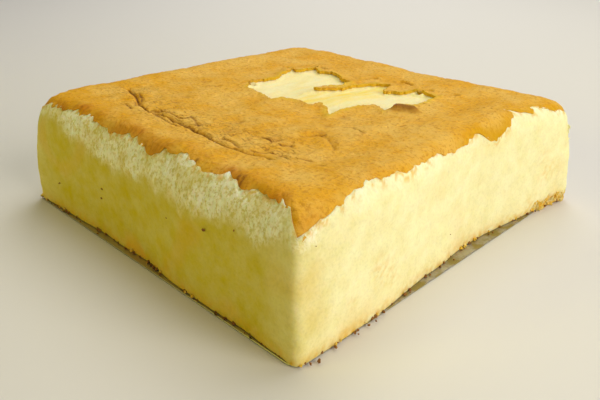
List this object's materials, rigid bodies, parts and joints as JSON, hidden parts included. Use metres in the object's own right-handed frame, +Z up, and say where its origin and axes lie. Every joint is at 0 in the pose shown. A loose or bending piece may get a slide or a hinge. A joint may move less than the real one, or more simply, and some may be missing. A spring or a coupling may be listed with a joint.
{
  "type": "chiffon cake",
  "caption": "Square chiffon cake with a thin browned crust, torn on top and ragged at its lower edge, on the loose flat base of its tin.",
  "frame": {"origin": "middle of the whole part's own box, on the underside of the tin base", "axes": "+Z up; -Y is the side with the fold in the crust, +X the side to its right"},
  "size_m": [0.2022, 0.2036, 0.0622],
  "materials": {
    "sponge": null,
    "tin": "rolled sheet, dulled and stained by baking"
  },
  "bodies": {
    "root": {"cake": "sponge", "tin_base": "tin"}
  },
  "joints": []
}
